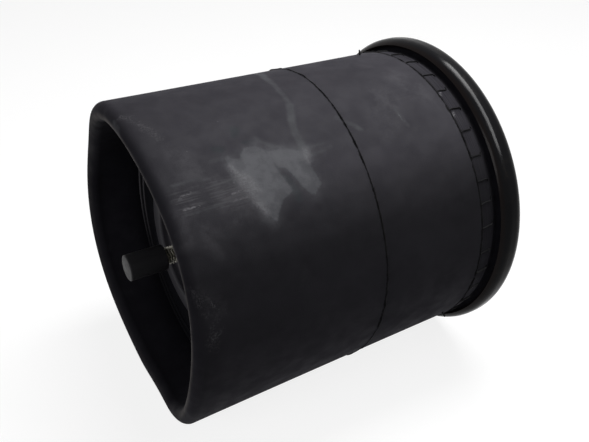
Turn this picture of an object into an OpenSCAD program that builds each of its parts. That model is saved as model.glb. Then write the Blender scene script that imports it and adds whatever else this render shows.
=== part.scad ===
// Rolling-lobe air suspension spring, as shipped: the sleeve is folded back into itself
// round a recessed lower closure, and a cap covers the closure's stud.
// The spring lies on its side. X runs along its axis, out through the bead plate.

/* [Bead plate] */
// Outer diameter of the rolled rim
plate_d = 228.6; // [224:0.1:240]
// Thickness of the plate's steel
plate_t = 3; // [2:0.1:3.5]
// Outside radius of the bend from the plate's face into the rim
rim_bend_r = 9; // [8:0.5:10]
// Outside radius of the rim's crimped lip
lip_bend_r = 8; // [7:0.5:8.5]
// Angle that the crimped lip is rolled in by
lip_angle = 65; // [50:1:75]
// Straight height of the rim between its two bends
rim_straight = 3; // [2:0.5:5]

/* [Upper studs] */
// Distance between the two studs
stud_spacing = 114.3; // [100:0.1:130]
// Diameter of the combination stud
combo_d = 19.05; // [18:0.01:22]
// Height of the combination stud above the plate
combo_h = 38; // [30:1:50]
// Diameter of the air inlet's threaded bore
inlet_d = 11.1; // [9:0.1:12]
// Depth of the air inlet's threaded bore
inlet_depth = 16; // [12:1:20]
// Diameter of the air passage below the inlet
passage_d = 7; // [4:0.5:8]
// Diameter of the plain stud
plain_d = 12.7; // [10:0.1:14]
// Height of the plain stud above the plate
plain_h = 30; // [20:1:40]
// Thickness of the studs' heads inside the plate
stud_head_t = 5; // [3:0.5:7]
// How far the studs' heads reach past their shanks
stud_head_rim = 5; // [3:0.5:7]
// How far the studs' necks, inside the plate, reach past their threads
stud_neck_rim = 0.8; // [0.5:0.1:1.5]

/* [Sleeve] */
// How far the sleeve's outside lies inside the rim's
sleeve_inset = 7.3; // [6.3:0.1:9.3]
// Thickness of the outer rubber cover
cover_t = 2; // [1.6:0.1:2.2]
// Thickness of the two rubberised cord plies
plies_t = 1.6; // [1.2:0.1:1.8]
// Thickness of the inner liner
liner_t = 1.4; // [1:0.1:1.5]
// Distance from the plate's face to the upper mould line
upper_line = 33.5; // [30:0.5:45]
// Distance from the plate's face to the middle mould line
middle_line = 115; // [90:1:140]
// Distance from the plate's face to the crest of the fold
fold_reach = 248; // [240:1:265]
// Outside radius of the fold, from the outer wall to the turned-in wall
fold_r = 6.5; // [6.3:0.1:7.5]
// How far the folded lobe stands proud of the sleeve all round
lobe_growth = 5.5; // [4:0.1:8]
// Height of the mould lines
flash_h = 0.7; // [0.3:0.1:1]

/* [Lower closure] */
// Distance from the plate's face to the closure's rubber face
closure_reach = 206; // [190:1:212]
// How far the closure's edge lies inside the sleeve's outside
closure_inset = 12.3; // [12:0.1:14]
// Thickness of the closure's steel
closure_t = 3.5; // [2.5:0.1:4]
// Thickness of the rubber face
face_t = 3.5; // [2.5:0.1:5]
// How far the outer sealing ridge lies inside the closure's edge
ridge_a_inset = 2.7; // [1.7:0.1:5.7]
// How far the inner sealing ridge lies inside the closure's edge
ridge_b_inset = 10.2; // [7.7:0.1:19.7]
// Height of the sealing ridges
ridge_h = 1.4; // [0.8:0.1:2]
// Outer diameter of the locating hub
hub_d = 114; // [100:1:124]
// Width of the locating hub's land
hub_land = 13; // [8:0.5:16]
// Height of the locating hub above the rubber face
hub_h = 4.5; // [2:0.5:6]

/* [Lower stud and cap] */
// Diameter of the lower stud
lower_stud_d = 12.7; // [10:0.1:14]
// Length of the lower stud outside the closure
lower_stud_len = 44; // [38:1:50]
// Outer diameter of the protective cap
cap_d = 18.6; // [17:0.1:24]
// Length of the protective cap
cap_len = 27; // [20:1:32]
// Thickness of the cap's closed end
cap_end_t = 3.5; // [2:0.5:5]

/* [Bump stop] */
// Diameter of the bump stop at its foot
bump_foot_d = 84; // [60:1:90]
// Diameter of the bump stop at its top
bump_top_d = 56; // [40:1:60]
// Height of the bump stop
bump_h = 65; // [45:1:75]
// Diameter of the post that holds the bump stop
post_d = 14; // [10:0.5:18]
// Height of the post above the stud's head
post_h = 24; // [16:1:30]

/* [Bead wires] */
// Diameter of the upper bead's wire core
upper_core_d = 4.8; // [3:0.1:5.2]
// Diameter of the lower bead's wire core
lower_core_d = 3; // [2:0.1:3.2]

/* [Hidden] */
$fn = 96;

// Clearances
bond_gap = 0.3;
ply_gap = 0.05;
stud_gap = 0.05;
core_gap = 0.15;
bead_gap = 0.4;

// Waves of the folded edge: how many round the lobe, height, angle of the first crest
lobe_waves = [[1, 4.3, -45], [2, 2.2, -77], [3, 2.3, -13], [4, 2.4, -7]];
edge_waves = [[1, 5.4, -31], [2, 1.0, -25], [3, 2.4, 27]];

// Facets round the sleeve, and steps of its outer wall, fold, turned-in wall and tucked end
facets = 40;
outer_steps = 2;
fold_steps = 8;
inner_steps = 3;
tuck_steps = 2;

// Derived sizes
plate_r = plate_d / 2;
sleeve_r = plate_r - sleeve_inset;
wall_t = cover_t + plies_t + liner_t;
closure_r = sleeve_r - closure_inset;
inner_wall_r = (closure_r + bond_gap) / cos(180 / facets);
rim_h = rim_bend_r + rim_straight + lip_bend_r * sin(lip_angle);
bead_r = plate_r - plate_t - bond_gap;
neck_x = rim_h + 0.5;
neck_r = sleeve_r - 2.5;

// Stations of the closure's stack, as distances from the plate's face
steel_front = closure_reach - face_t;
steel_back = steel_front - closure_t;
hub_front = closure_reach + hub_h;
tuck_bend_r = 3;
tuck_start = steel_back - 1.8;
tuck_end_r = closure_r - 14;

// A revolved profile, drawn as [radius, x], about the spring's axis
module about_axis() {
    rotate([0, 90, 0])
        rotate_extrude()
            children();
}

// A welded stud's profile as [radius, distance from the seat]: head, neck in the plate,
// and threaded shank with a chamfered end
function stud_profile(d, head_r, head_t, neck_r, neck_t, length, chamfer) = [
    [0, -neck_t - head_t],
    [head_r, -neck_t - head_t],
    [head_r, -neck_t],
    [neck_r, -neck_t],
    [neck_r, 0],
    [d / 2, 0],
    [d / 2, length - chamfer],
    [d / 2 - chamfer, length],
    [0, length]
];

// A stud that stands out of the bead plate
module upper_stud(d, length) {
    about_axis()
        polygon(stud_profile(d, d / 2 + stud_head_rim, stud_head_t,
            d / 2 + stud_neck_rim, plate_t, length, 1.3));
}

function sum(list, i = 0) = i < len(list) ? list[i] + sum(list, i + 1) : 0;

// Height of a row of waves at angle a round the lobe
function wave(waves, a) = sum([for (w = waves) w[1] * cos(w[0] * (a - w[2]))]);

// The lower of two values, rounded where they meet
function soft_min(p, q, s = 1.2) = -s * ln(exp(-p / s) + exp(-q / s));

// Radius of the folded lobe at angle a: it grows in waves, and lies flat on the ground
function ground_r(a) = plate_r / max(0.3, -sin(a));
function lobe_r(a) = soft_min(sleeve_r + lobe_growth + wave(lobe_waves, a), ground_r(a));

// Distance from the plate's face to the crest of the fold at angle a
function crest(a) = fold_reach - wave(edge_waves, a);

function smooth(t) = t * t * (3 - 2 * t);
function mix(p, q, t) = p + (q - p) * t;

// The sleeve's outer surface inside the rim, as [distance from the plate's face, radius]
bead_line = [
    [plate_t + 0.5, bead_r - 4],
    [plate_t + 2, bead_r - 1.8],
    [rim_bend_r, bead_r],
    [rim_bend_r + rim_straight, bead_r - 0.2],
    [rim_bend_r + rim_straight + 4, bead_r - 2.6],
    [neck_x - 1.5, neck_r + 0.9],
    [neck_x + 0.5, neck_r],
    [neck_x + 4.5, sleeve_r - 0.9],
    [upper_line - 0.8, sleeve_r]
];

// A section of the sleeve at angle a, for the surface that lies depth under the outside:
// bead, upper mould line, flared wall with the middle mould line, fold, turned-in wall
// and the end that is tucked behind the closure
function section(a, depth) = let (
    flash = depth == 0 ? flash_h : 0,
    top = lobe_r(a),
    reach = crest(a) - fold_r,
    line_t = (middle_line - upper_line) / (reach - upper_line),
    line_r = mix(sleeve_r, top, line_t),
    bend = fold_r - depth
) concat(
    [for (p = bead_line) [p[0], p[1] - depth]],
    [[upper_line, sleeve_r + flash - depth], [upper_line + 0.8, sleeve_r - depth]],
    [[middle_line - 0.8, line_r - depth], [middle_line, line_r + flash - depth],
        [middle_line + 0.8, line_r - depth]],
    [for (i = [1 : outer_steps - 1]) let (t = mix(line_t, 1, i / outer_steps))
        [mix(upper_line, reach, t), mix(sleeve_r, top, t) - depth]],
    [for (i = [0 : fold_steps]) let (b = 180 * i / fold_steps)
        [reach + bend * sin(b), top - fold_r + bend * cos(b)]],
    [for (i = [1 : inner_steps]) let (t = i / inner_steps)
        [mix(reach, closure_reach, t),
            mix(top - 2 * fold_r, inner_wall_r, smooth(t)) + depth]],
    [for (i = [0 : tuck_steps]) let (b = 90 * i / tuck_steps)
        [tuck_start - (tuck_bend_r + depth) * sin(b),
            inner_wall_r - tuck_bend_r + (tuck_bend_r + depth) * cos(b)]],
    [[tuck_start - tuck_bend_r - depth, tuck_end_r]]
);

function ring_point(p, a) = [-p[0], p[1] * cos(a), p[1] * sin(a)];

// One layer of the sleeve, between two depths under its outside. Both faces of each
// layer are split along the same diagonals, so that the layers lie evenly on each other
module layer(depth_out, depth_in) {
    outer = [for (i = [0 : facets - 1]) section(360 * i / facets, depth_out)];
    inner = [for (i = [0 : facets - 1]) section(360 * i / facets, depth_in)];
    n = len(outer[0]);
    loop = 2 * n;
    points = [for (i = [0 : facets - 1]) let (a = 360 * i / facets)
        for (j = [0 : loop - 1])
            ring_point(j < n ? outer[i][j] : inner[i][loop - 1 - j], a)];
    faces = [for (i = [0 : facets - 1]) for (j = [0 : loop - 1]) let (
            i2 = (i + 1) % facets,
            j2 = (j + 1) % loop,
            p = i * loop + j,
            q = i * loop + j2,
            r = i2 * loop + j2,
            s = i2 * loop + j)
        each j < n ? [[p, s, r], [p, r, q]] : [[p, s, q], [s, r, q]]];
    polyhedron(points, faces);
}

module bead_plate() {
    rim_c = plate_r - rim_bend_r;
    lip_c = plate_r - lip_bend_r;
    lip_x = -rim_bend_r - rim_straight;
    color("#17181a")
        difference() {
            about_axis()
                union() {
                    translate([0, -plate_t])
                        square([rim_c + 0.01, plate_t]);
                    intersection() {
                        translate([rim_c, -rim_bend_r])
                            difference() {
                                circle(rim_bend_r);
                                circle(rim_bend_r - plate_t);
                            }
                        translate([rim_c, -rim_bend_r])
                            square(rim_bend_r + 1);
                    }
                    translate([plate_r - plate_t, lip_x])
                        square([plate_t, rim_straight]);
                    intersection() {
                        translate([lip_c, lip_x])
                            difference() {
                                circle(lip_bend_r);
                                circle(lip_bend_r - plate_t);
                            }
                        translate([lip_c, lip_x])
                            polygon([[0, 0], [2 * lip_bend_r, 0],
                                [2 * lip_bend_r, -2 * lip_bend_r * tan(lip_angle / 2)],
                                [2 * lip_bend_r * cos(lip_angle),
                                    -2 * lip_bend_r * sin(lip_angle)]]);
                    }
                }
            for (stud = [[1, combo_d], [-1, plain_d]])
                translate([-plate_t - 1, stud[0] * stud_spacing / 2, 0])
                    rotate([0, 90, 0])
                        cylinder(h = plate_t + 2, r = stud[1] / 2 + stud_neck_rim + stud_gap);
        }
}

module combo_stud() {
    color("#8e8a7c")
        translate([0, stud_spacing / 2, 0])
            difference() {
                upper_stud(combo_d, combo_h);
                translate([combo_h - inlet_depth, 0, 0])
                    rotate([0, 90, 0])
                        cylinder(h = inlet_depth + 1, d = inlet_d);
                translate([-plate_t - stud_head_t - 1, 0, 0])
                    rotate([0, 90, 0])
                        cylinder(h = plate_t + stud_head_t + combo_h, d = passage_d);
            }
}

module plain_stud() {
    color("#8e8a7c")
        translate([0, -stud_spacing / 2, 0])
            upper_stud(plain_d, plain_h);
}

// The upper bead's wire lies under the plate, in a wedge of rubber inside the sleeve's end
upper_core_x = plate_t + bead_gap + 0.6 + upper_core_d / 2;
upper_core_r = bead_r - wall_t - 5.4;

module upper_bead_core() {
    color("#6f6a60")
        about_axis()
            translate([upper_core_r, -upper_core_x])
                circle(d = upper_core_d);
}

// A point of the bead's line, moved to just inside the sleeve, as [radius, x]
function inside_sleeve(p) = [(p[1] - wall_t) * cos(180 / facets) - bond_gap, -p[0]];

module upper_bead_filler() {
    in_r = neck_r - wall_t - 1.6;
    color("#202022")
        about_axis()
            difference() {
                polygon(concat(
                    [[in_r, -bead_line[0][0]]],
                    [for (p = bead_line) if (p[0] <= neck_x + 1) inside_sleeve(p)],
                    [[in_r, -neck_x]]
                ));
                translate([upper_core_r, -upper_core_x])
                    circle(d = upper_core_d + 2 * core_gap);
            }
}

module outer_cover() {
    color("#3a3a3d")
        layer(0, cover_t);
}

module cord_plies() {
    color("#6b5f4a")
        layer(cover_t + ply_gap, cover_t + plies_t);
}

module inner_liner() {
    color("#2b2b2d")
        layer(cover_t + plies_t + ply_gap, wall_t);
}

// The pressed steel closure: a disc with a raised ring, the locating hub
module closure_plate() {
    hub_r = hub_d / 2;
    land_r = hub_r - hub_land;
    edge = 1.2;
    rim_r = closure_r - face_t;
    bore_r = lower_stud_d / 2 + stud_neck_rim + stud_gap;
    color("#55575a")
        about_axis()
            polygon([
                [rim_r, -steel_back],
                [rim_r, -steel_front],
                [hub_r, -steel_front],
                [hub_r, -hub_front + edge],
                [hub_r - edge, -hub_front],
                [land_r + edge, -hub_front],
                [land_r, -hub_front + edge],
                [land_r, -closure_reach],
                [bore_r, -closure_reach],
                [bore_r, -closure_reach + closure_t],
                [land_r + closure_t, -closure_reach + closure_t],
                [land_r + closure_t, -hub_front + closure_t],
                [hub_r - closure_t, -hub_front + closure_t],
                [hub_r - closure_t, -steel_back]
            ]);
}

// The moulded rubber face wraps the steel's rim and carries two sealing ridges
module closure_rubber() {
    in_r = hub_d / 2 + bond_gap;
    color("#2f2f32")
        about_axis()
            union() {
                difference() {
                    translate([in_r, -closure_reach])
                        square([closure_r - in_r, face_t + closure_t]);
                    translate([in_r - 1, -steel_front])
                        square([closure_r - face_t - in_r + 1 + ply_gap, closure_t + 1]);
                }
                for (inset = [ridge_a_inset, ridge_b_inset])
                    translate([closure_r - inset, -closure_reach])
                        circle(ridge_h);
            }
}

// The lower bead's wire lies behind the steel, where the sleeve's end is tucked in
filler_front = steel_back - bead_gap;
filler_back = tuck_start - tuck_bend_r + bond_gap;
lower_core_x = (filler_front + filler_back) / 2;
lower_core_r = closure_r - 7.5;

module lower_bead_core() {
    color("#6f6a60")
        about_axis()
            translate([lower_core_r, -lower_core_x])
                circle(d = lower_core_d);
}

module lower_bead_filler() {
    out_r = inner_wall_r - bond_gap - 0.5;
    color("#202022")
        about_axis()
            difference() {
                polygon([
                    [tuck_end_r, -filler_front],
                    [out_r, -filler_front],
                    [out_r, -tuck_start],
                    [out_r - 0.9, -tuck_start + 1.6],
                    [out_r - 2.8, -filler_back],
                    [tuck_end_r, -filler_back]
                ]);
                translate([lower_core_r, -lower_core_x])
                    circle(d = lower_core_d + 2 * core_gap);
            }
}

stud_seat = closure_reach - closure_t;
head_t = 4.5;
head_r = 15;

module lower_stud() {
    profile = stud_profile(lower_stud_d, head_r, head_t,
        lower_stud_d / 2 + stud_neck_rim, closure_t, lower_stud_len, 1.4);
    color("#8a7f66")
        about_axis()
            polygon([for (p = profile) [p[0], -closure_reach - p[1]]]);
}

// A mushroom post on the stud's head; the bump stop snaps over it
post_base = stud_seat - head_t;
post_head_h = 7;
post_head_rim = 3;

module post_shape(extra) {
    r = post_d / 2 + extra;
    cap_r = post_d / 2 + post_head_rim + extra;
    top = -post_base + post_h + extra;
    polygon([[0, -post_base], [r, -post_base], [r, top - post_head_h - 2 * extra],
        [cap_r, top - post_head_h - 2 * extra], [cap_r, top - 3], [r - 1, top], [0, top]]);
}

module bump_post() {
    color("#77787a")
        about_axis()
            post_shape(0);
}

module bump_stop() {
    foot = -stud_seat + bond_gap;
    foot_r = bump_foot_d / 2;
    top_r = bump_top_d / 2;
    waist_r = mix(top_r, foot_r, 0.35);
    color("#26262a")
        about_axis()
            difference() {
                polygon([
                    [0, foot],
                    [foot_r - 1, foot],
                    [foot_r, foot + 1],
                    [foot_r, foot + 0.16 * bump_h],
                    [waist_r, foot + 0.34 * bump_h],
                    [waist_r, foot + 0.42 * bump_h],
                    [top_r + 3, foot + 0.55 * bump_h],
                    [top_r + 3, foot + 0.75 * bump_h],
                    [top_r - 2, foot + 0.93 * bump_h],
                    [top_r - 8, foot + bump_h],
                    [0, foot + bump_h]
                ]);
                translate([0, -stud_seat - 1])
                    square([head_r + bond_gap, head_t + 1 + bond_gap]);
                post_shape(bond_gap);
            }
}

// The protective cap, pushed over the stud's end
module stud_cap() {
    bore_end = lower_stud_len + bond_gap;
    cap_end = bore_end + cap_end_t;
    r = cap_d / 2;
    bore_r = lower_stud_d / 2 + stud_gap;
    color("#1b1b1e")
        translate([-closure_reach, 0, 0])
            about_axis()
                polygon([
                    [bore_r, -cap_end + cap_len],
                    [r - 0.4, -cap_end + cap_len],
                    [r, -cap_end + cap_len - 0.4],
                    [r, -cap_end + 0.5],
                    [r - 0.5, -cap_end],
                    [0, -cap_end],
                    [0, -bore_end],
                    [bore_r, -bore_end]
                ]);
}

bead_plate();
combo_stud();
plain_stud();
upper_bead_core();
upper_bead_filler();
outer_cover();
cord_plies();
inner_liner();
closure_plate();
closure_rubber();
lower_bead_core();
lower_bead_filler();
lower_stud();
bump_post();
bump_stop();
stud_cap();
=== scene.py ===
"""An air suspension spring for a heavy vehicle, lying on its side on a pale studio floor.

X runs along the spring's axis, out through the steel bead plate at x = 0. The rubber sleeve
runs from the plate towards -X and is folded back into itself round a recessed closure.
Shapes are worked out in millimetres: d is the distance from the plate's face, along -X, r is
the radius from the axis, and an angle is counted from +Y towards +Z.
"""
import math

import bmesh
import bpy
import numpy as np
from mathutils import Matrix, Vector


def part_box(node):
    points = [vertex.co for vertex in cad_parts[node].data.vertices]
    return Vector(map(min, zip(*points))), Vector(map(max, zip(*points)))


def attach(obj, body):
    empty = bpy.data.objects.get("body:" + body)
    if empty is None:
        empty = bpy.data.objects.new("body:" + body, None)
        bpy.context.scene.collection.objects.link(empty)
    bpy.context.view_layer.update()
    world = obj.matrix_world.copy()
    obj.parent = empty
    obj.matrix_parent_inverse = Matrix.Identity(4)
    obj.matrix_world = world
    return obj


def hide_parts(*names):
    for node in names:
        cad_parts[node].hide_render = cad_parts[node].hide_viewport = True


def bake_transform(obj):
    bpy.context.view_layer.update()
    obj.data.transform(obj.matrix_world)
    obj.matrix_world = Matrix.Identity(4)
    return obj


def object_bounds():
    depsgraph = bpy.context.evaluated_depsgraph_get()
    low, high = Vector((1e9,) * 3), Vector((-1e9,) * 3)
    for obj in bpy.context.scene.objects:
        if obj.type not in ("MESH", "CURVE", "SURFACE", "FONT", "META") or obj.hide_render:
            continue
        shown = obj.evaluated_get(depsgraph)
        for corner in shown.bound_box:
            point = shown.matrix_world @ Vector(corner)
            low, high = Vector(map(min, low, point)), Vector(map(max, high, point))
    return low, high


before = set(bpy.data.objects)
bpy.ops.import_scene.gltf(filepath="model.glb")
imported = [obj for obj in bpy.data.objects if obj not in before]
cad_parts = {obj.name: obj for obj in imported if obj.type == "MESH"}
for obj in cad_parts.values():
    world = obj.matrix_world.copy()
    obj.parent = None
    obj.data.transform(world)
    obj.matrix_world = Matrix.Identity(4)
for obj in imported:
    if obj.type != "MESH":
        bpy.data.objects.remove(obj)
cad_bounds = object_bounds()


# Bead plate: a disc of 3 mm steel, painted gloss black. Its edge is bent down and its lip is
# rolled inwards in a press, which grips the bead of the sleeve. Two studs are welded into it.

MM = 0.001
sharp_angle = math.radians(38)


def mesh_object(name, points, faces):
    """Object from points in mm and faces, with its faces turned outwards.

    The sum of (first corner . (next x last)) over the faces is six times the volume, so
    where it is negative every face is turned round."""
    corners = points[faces]
    turn = np.cross(corners[:, 1], corners[:, 2]) + np.cross(corners[:, 2], corners[:, 3])
    if np.sum(corners[:, 0] * turn) < 0:
        faces = faces[:, ::-1]
    mesh = bpy.data.meshes.new(name)
    mesh.from_pydata(points * MM, [], faces.tolist())
    built = bmesh.new()
    built.from_mesh(mesh)
    bmesh.ops.remove_doubles(built, verts=built.verts, dist=1e-7)
    built.to_mesh(mesh)
    built.free()
    mesh.shade_smooth()
    mesh.set_sharp_from_angle(angle=sharp_angle)
    made = bpy.data.objects.new(name, mesh)
    bpy.context.scene.collection.objects.link(made)
    return made


def grid_faces(rows, columns, close_rows):
    """Quads of a grid whose columns join up, and whose rows do too if close_rows is set."""
    row = np.arange(rows if close_rows else rows - 1)
    row, column = np.meshgrid(row, np.arange(columns), indexing="ij")
    next_row, next_column = (row + 1) % rows, (column + 1) % columns
    quad = [row * columns + column, row * columns + next_column,
            next_row * columns + next_column, next_row * columns + column]
    return np.stack(quad, -1).reshape(-1, 4)


def turned(name, profile, columns, centre=(0, 0), thread=None, closed=False):
    """A turned piece: the profile's (d, r) points carried round an axis along X.

    point = (-d, y0 + r cos a, z0 + r sin a). A thread = (first d, last d, pitch, depth) takes
    from r a V that winds once round for each pitch, and fades out at both ends."""
    profile = np.array(profile, float)
    angle = np.arange(columns) * 2 * np.pi / columns
    d, r = np.broadcast_arrays(profile[:, :1], np.zeros(columns))[0], profile[:, 1:]
    r = np.repeat(r, columns, axis=1)
    if thread:
        first, last, pitch, depth = thread
        low, high = min(first, last), max(first, last)
        turn = (d / pitch + angle / (2 * np.pi)) % 1
        fade = np.clip(np.minimum(d - low, high - d) / pitch, 0, 1)
        on_shank = (d >= low) & (d <= high) & (r > 0.9 * r[(d >= low) & (d <= high)].max())
        groove = np.clip(1.25 * (1 - np.abs(2 * turn - 1)) - 0.12, 0, 1)
        r = r - np.where(on_shank, depth * fade * groove, 0)
    points = np.stack([-d, centre[0] + r * np.cos(angle), centre[1] + r * np.sin(angle)], -1)
    faces = grid_faces(len(profile), columns, closed)
    return mesh_object(name, points.reshape(-1, 3), faces)


def arc(d, r, radius, start, end, steps):
    """Points of an arc round (d, r). Its angle, in degrees, is counted from +r towards +d."""
    a = np.radians(np.linspace(start, end, steps))
    return list(np.stack([d + radius * np.sin(a), r + radius * np.cos(a)], -1))


def shader(name, color, roughness, metallic=0.0, specular=0.5):
    """A material, with its node tree and its surface shader."""
    material = bpy.data.materials.new(name)
    material.use_nodes = True
    surface = material.node_tree.nodes["Principled BSDF"]
    surface.inputs["Base Color"].default_value = (*color, 1)
    surface.inputs["Roughness"].default_value = roughness
    surface.inputs["Metallic"].default_value = metallic
    surface.inputs["Specular IOR Level"].default_value = specular
    return material, material.node_tree, surface


def add_node(tree, kind, inputs=(), **settings):
    """A shader node. Each input is (socket, value or other node's output)."""
    made = tree.nodes.new(kind)
    for key, value in settings.items():
        setattr(made, key, value)
    for socket, value in inputs:
        if isinstance(value, bpy.types.NodeSocket):
            tree.links.new(value, made.inputs[socket])
        else:
            made.inputs[socket].default_value = value
    return made


def noise(tree, vector, scale, detail, roughness=0.55):
    """A noise texture's value at vector, from 0 to 1."""
    return add_node(tree, "ShaderNodeTexNoise", [
        ("Vector", vector), ("Scale", scale), ("Detail", detail), ("Roughness", roughness),
    ]).outputs["Fac"]


def remap(tree, value, low, high, to_low=0.0, to_high=1.0):
    """value, taken from low..high to to_low..to_high, with a soft start and end."""
    return add_node(tree, "ShaderNodeMapRange", [
        ("Value", value), ("From Min", low), ("From Max", high),
        ("To Min", to_low), ("To Max", to_high),
    ], interpolation_type="SMOOTHSTEP").outputs["Result"]


def scaled(tree, vector, factors):
    """vector, multiplied by factors along X, Y and Z."""
    return add_node(tree, "ShaderNodeVectorMath", [(0, vector), (1, factors)],
                    operation="MULTIPLY").outputs["Vector"]


def combine(tree, operation, first, second):
    """Two numbers, joined by a math operation."""
    return add_node(tree, "ShaderNodeMath", [(0, first), (1, second)],
                    operation=operation).outputs["Value"]


def blend_color(tree, factor, first, second):
    """A mix of two colours, each a socket or three numbers."""
    values = [value if isinstance(value, bpy.types.NodeSocket) else (*value, 1)
              for value in (first, second)]
    return add_node(tree, "ShaderNodeMix", [("Factor", factor), (6, values[0]), (7, values[1])],
                    data_type="RGBA").outputs[2]


def bump(tree, surface, height, distance, strength):
    """Gives the surface a bump of that height map, whose full height is distance in metres."""
    made = add_node(tree, "ShaderNodeBump", [
        ("Height", height), ("Distance", distance), ("Strength", strength)])
    tree.links.new(made.outputs["Normal"], surface.inputs["Normal"])


plate_low, plate_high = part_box("bead_plate")
plate_r = plate_high.z / MM
plate_t = 3.0
rim_bend_r = 9.0
rim_straight = 3.0
lip_bend_r = 8.0
lip_angle = 65
rim_h = -plate_low.x / MM
lip_d = rim_bend_r + rim_straight
lip_r = plate_r - lip_bend_r
combo_d, plain_d = 19.05, 12.7
neck_rim, weld_gap = 0.8, 0.05
cutter_start, cutter_end = -5, 9


def gloss_paint():
    """Gloss black paint, slightly rippled and finely dusted, and browner inside the lip."""
    material, tree, surface = shader("gloss_black_paint", (0.008, 0.008, 0.009), 0.22,
                                     specular=0.042)
    place = add_node(tree, "ShaderNodeTexCoord").outputs["Object"]
    ripple = noise(tree, place, 38, 2)
    grit = noise(tree, place, 900, 2)
    dust = remap(tree, noise(tree, place, 60, 6, 0.7), 0.52, 0.75)
    color = blend_color(tree, dust, (0.006, 0.006, 0.007), (0.014, 0.012, 0.011))
    x = add_node(tree, "ShaderNodeSeparateXYZ", [("Vector", place)]).outputs["X"]
    in_lip = remap(tree, x, -(rim_h - 0.8) * MM, -(rim_h - 3.2) * MM, 0.8, 0.0)
    color = blend_color(tree, in_lip, color, (0.0090, 0.0062, 0.0058))
    tree.links.new(color, surface.inputs["Base Color"])
    tree.links.new(remap(tree, dust, 0, 1, 0.18, 0.32), surface.inputs["Roughness"])
    height = combine(tree, "ADD", ripple, combine(tree, "MULTIPLY", grit, 0.02))
    bump(tree, surface, height, 0.0012, 0.35)
    return material


outline = [(0, 0), (0, lip_r * 0.5), (0, plate_r - rim_bend_r - 2)]
outline += arc(rim_bend_r, plate_r - rim_bend_r, rim_bend_r, -90, 0, 14)
outline += arc(lip_d, lip_r, lip_bend_r, 0, lip_angle - 3, 16)
outline += arc(lip_d, lip_r, lip_bend_r - plate_t / 2, lip_angle + 2, lip_angle + 2, 1)
outline += arc(lip_d, lip_r, lip_bend_r - plate_t, lip_angle - 3, 0, 12)
outline += arc(rim_bend_r, plate_r - rim_bend_r, rim_bend_r - plate_t, 0, -90, 10)
outline += [(plate_t, lip_r * 0.5), (plate_t, 0)]
plate = turned("bead_plate_pressing", outline, 360)
for stud, stud_d in (("combo_stud", combo_d), ("plain_stud", plain_d)):
    low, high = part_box(stud)
    hole_y = (low.y + high.y) / 2 / MM
    hole_r = stud_d / 2 + neck_rim + weld_gap
    cutter = turned(stud + "_hole", [(cutter_start, 0), (cutter_start, hole_r),
                                     (cutter_end, hole_r), (cutter_end, 0)], 96, (hole_y, 0))
    cut = plate.modifiers.new("hole", "BOOLEAN")
    cut.operation = "DIFFERENCE"
    cut.object = cutter
    cut.solver = "EXACT"
    bpy.context.view_layer.update()
    cut_mesh = bpy.data.meshes.new_from_object(
        plate.evaluated_get(bpy.context.evaluated_depsgraph_get()))
    plate.modifiers.remove(cut)
    plate.data = cut_mesh
    bpy.data.objects.remove(cutter)
plate.data.set_sharp_from_angle(angle=sharp_angle)
plate.data.materials.clear()
plate.data.materials.append(gloss_paint())
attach(plate, "upper_end")
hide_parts("bead_plate")


# Upper studs: a 3/4-16 combination stud with the air inlet through it, and a plain 1/2-13
# stud. Both are zinc plated steel with rolled threads, welded into the plate's holes.

inch = 25.4
stud_spacing = 114.3
stud_y = stud_spacing / 2
combo_length, combo_pitch = 38.0, inch / 16
plain_length, plain_pitch = 30.0, inch / 13
head_rim, head_t, chamfer = 5, 5, 1.3
thread_start, thread_share = 0.6, 0.62
inlet_r, inlet_depth, inlet_chamfer, passage_r = 5.55, 16.0, 0.7, 3.5


def plated_steel(name, color, stain):
    """Zinc plate over steel: a metal with fine turning marks and darker, duller patches."""
    material, tree, surface = shader(name, color, 0.4, metallic=1.0)
    place = add_node(tree, "ShaderNodeTexCoord").outputs["Object"]
    patches = remap(tree, noise(tree, place, 140, 5, 0.65), 0.42, 0.66)
    tree.links.new(blend_color(tree, patches, color, stain), surface.inputs["Base Color"])
    tree.links.new(remap(tree, patches, 0, 1, 0.32, 0.55), surface.inputs["Roughness"])
    rings = noise(tree, scaled(tree, place, (2600, 120, 120)), 1, 2)
    bump(tree, surface, rings, 0.00004, 0.5)
    return material


def stud_profile(d, length, pitch, bore=()):
    """Outline of a welded stud as (d, r), from its head inside the plate to its chamfered end.

    The threaded stretch has eight rows for each turn of its thread."""
    head_r, neck_r = d / 2 + head_rim, d / 2 + neck_rim
    shank = np.arange(thread_start, length - chamfer, pitch / 8)
    points = [(plate_t + head_t, 0), (plate_t + head_t, head_r - 0.5),
              (plate_t + head_t - 0.5, head_r), (plate_t + 0.4, head_r),
              (plate_t, head_r - 0.4), (plate_t, neck_r), (0, neck_r), (0, d / 2)]
    points += [(-s, d / 2) for s in shank]
    points += [(-(length - chamfer), d / 2), (-length, d / 2 - chamfer)]
    return points + (list(bore) if bore else [(-length, 0)])


zinc = plated_steel("zinc_plate", (0.52, 0.50, 0.45), (0.30, 0.28, 0.24))

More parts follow.
